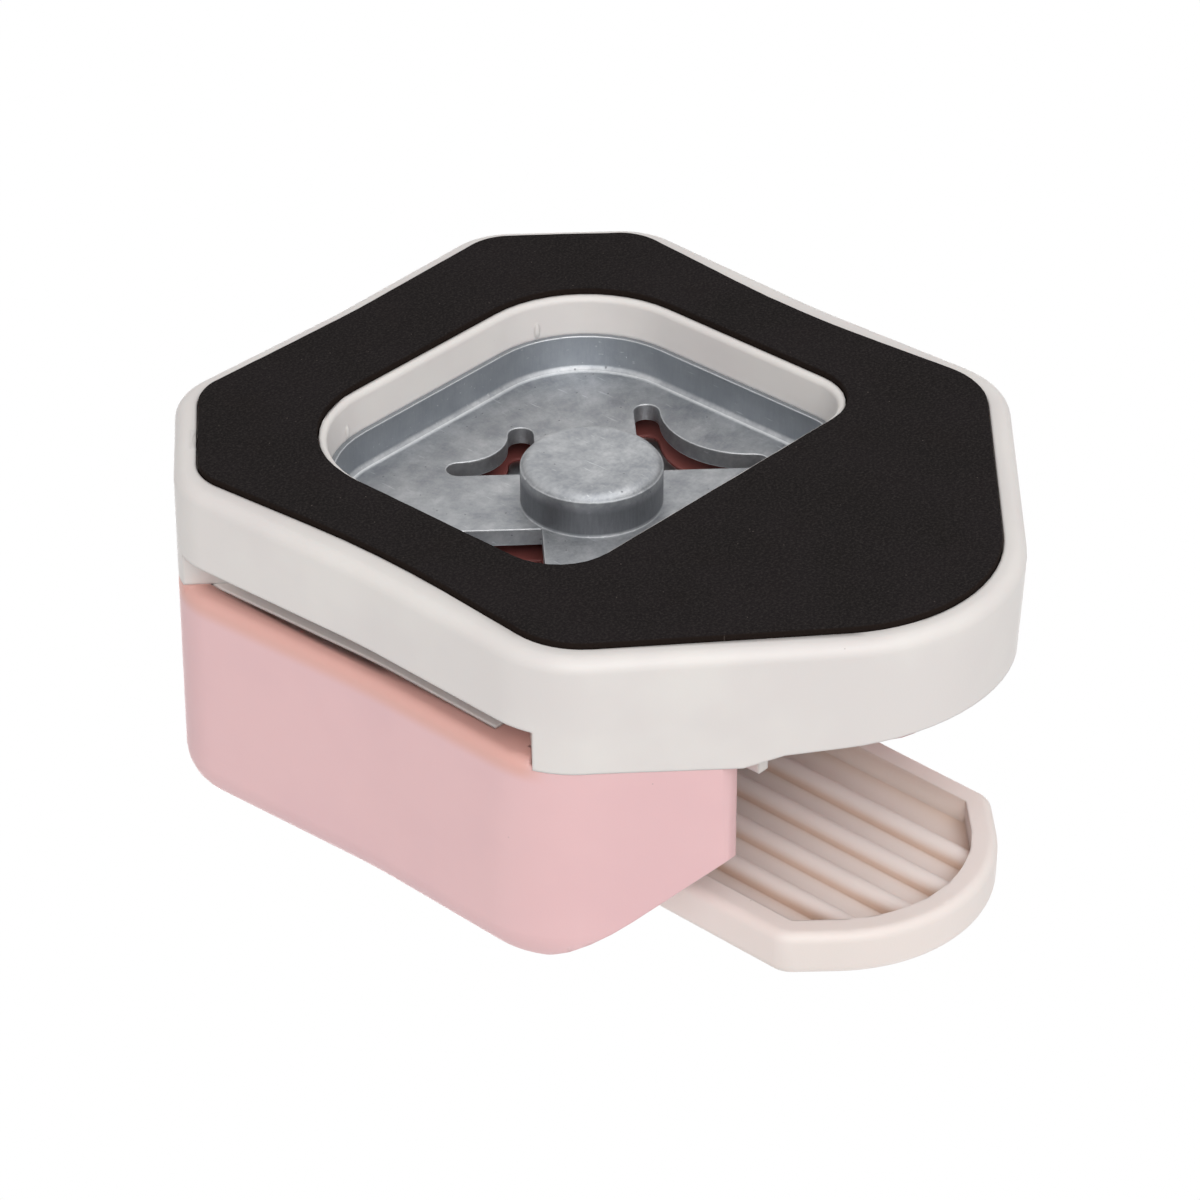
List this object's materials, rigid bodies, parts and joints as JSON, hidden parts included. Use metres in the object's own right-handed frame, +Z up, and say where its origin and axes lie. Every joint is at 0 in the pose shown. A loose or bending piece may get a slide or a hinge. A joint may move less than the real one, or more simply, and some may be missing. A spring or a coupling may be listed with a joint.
{
  "type": "corner rounder",
  "caption": "Palm-size lever punch that rounds paper corners to a choice of radii, with side slots, a cast die in a foam-padded base, a coloured casing and a hinged lever.",
  "frame": {"origin": "centre of the body's outline on the underside of the foam pad, where the punch stands on the table", "axes": "+Z up, -Y towards the nose and the lever's tip, +X towards the slot of the largest radius"},
  "size_m": [0.0532, 0.0651, 0.0304],
  "materials": {
    "black_foam": "fine closed-cell foam sheet, dull black with pale specks",
    "white_plastic": "moulded off-white plastic, satin",
    "pink_plastic": "moulded pastel pink plastic, satin",
    "rose_plastic": "moulded plastic of a deeper rose, satin",
    "ivory_plastic": "moulded ivory plastic, satin",
    "cast_zinc": "die-cast zinc alloy, dull light grey, mottled",
    "cutter_steel": "ground cutting steel",
    "ground_steel": "ground and polished steel",
    "screw_steel": "zinc-plated steel",
    "spring_steel": "drawn spring wire"
  },
  "bodies": {
    "body": {"foam_pad": "black_foam", "base": "white_plastic", "die": "cast_zinc", "die_screws": "screw_steel", "guide_plate": "rose_plastic", "guide_screws": "screw_steel", "casing": "pink_plastic", "case_screws": "screw_steel", "hinge_pin": "ground_steel", "hinge_clips": "screw_steel", "guide_pins": "ground_steel", "return_spring": "spring_steel", "spring_washer": "screw_steel"},
    "lever": {"lever": "ivory_plastic"},
    "punch": {"punch_block": "cast_zinc", "cutter_rear": "cutter_steel", "cutter_left": "cutter_steel", "cutter_right": "cutter_steel", "cutter_screws": "screw_steel", "press_disc": "ground_steel"}
  },
  "joints": [
    {"name": "lever_hinge", "type": "hinge", "parent": "body", "child": "lever", "pos_m": [0, 0.023, 0.023], "axis": [1, 0, 0], "range_deg": [0, 9.5], "stiffness_Nm_per_rad": 1.2, "springref_deg": -8.59},
    {"name": "punch_slide", "type": "slide", "parent": "body", "child": "punch", "axis": [0, 0, -1], "range_m": [0, 0.003], "deforming": ["return_spring"]}
  ],
  "couplings": [
    {"joint": "punch_slide", "follows": "lever_hinge", "m_per_rad": 0.018}
  ]
}
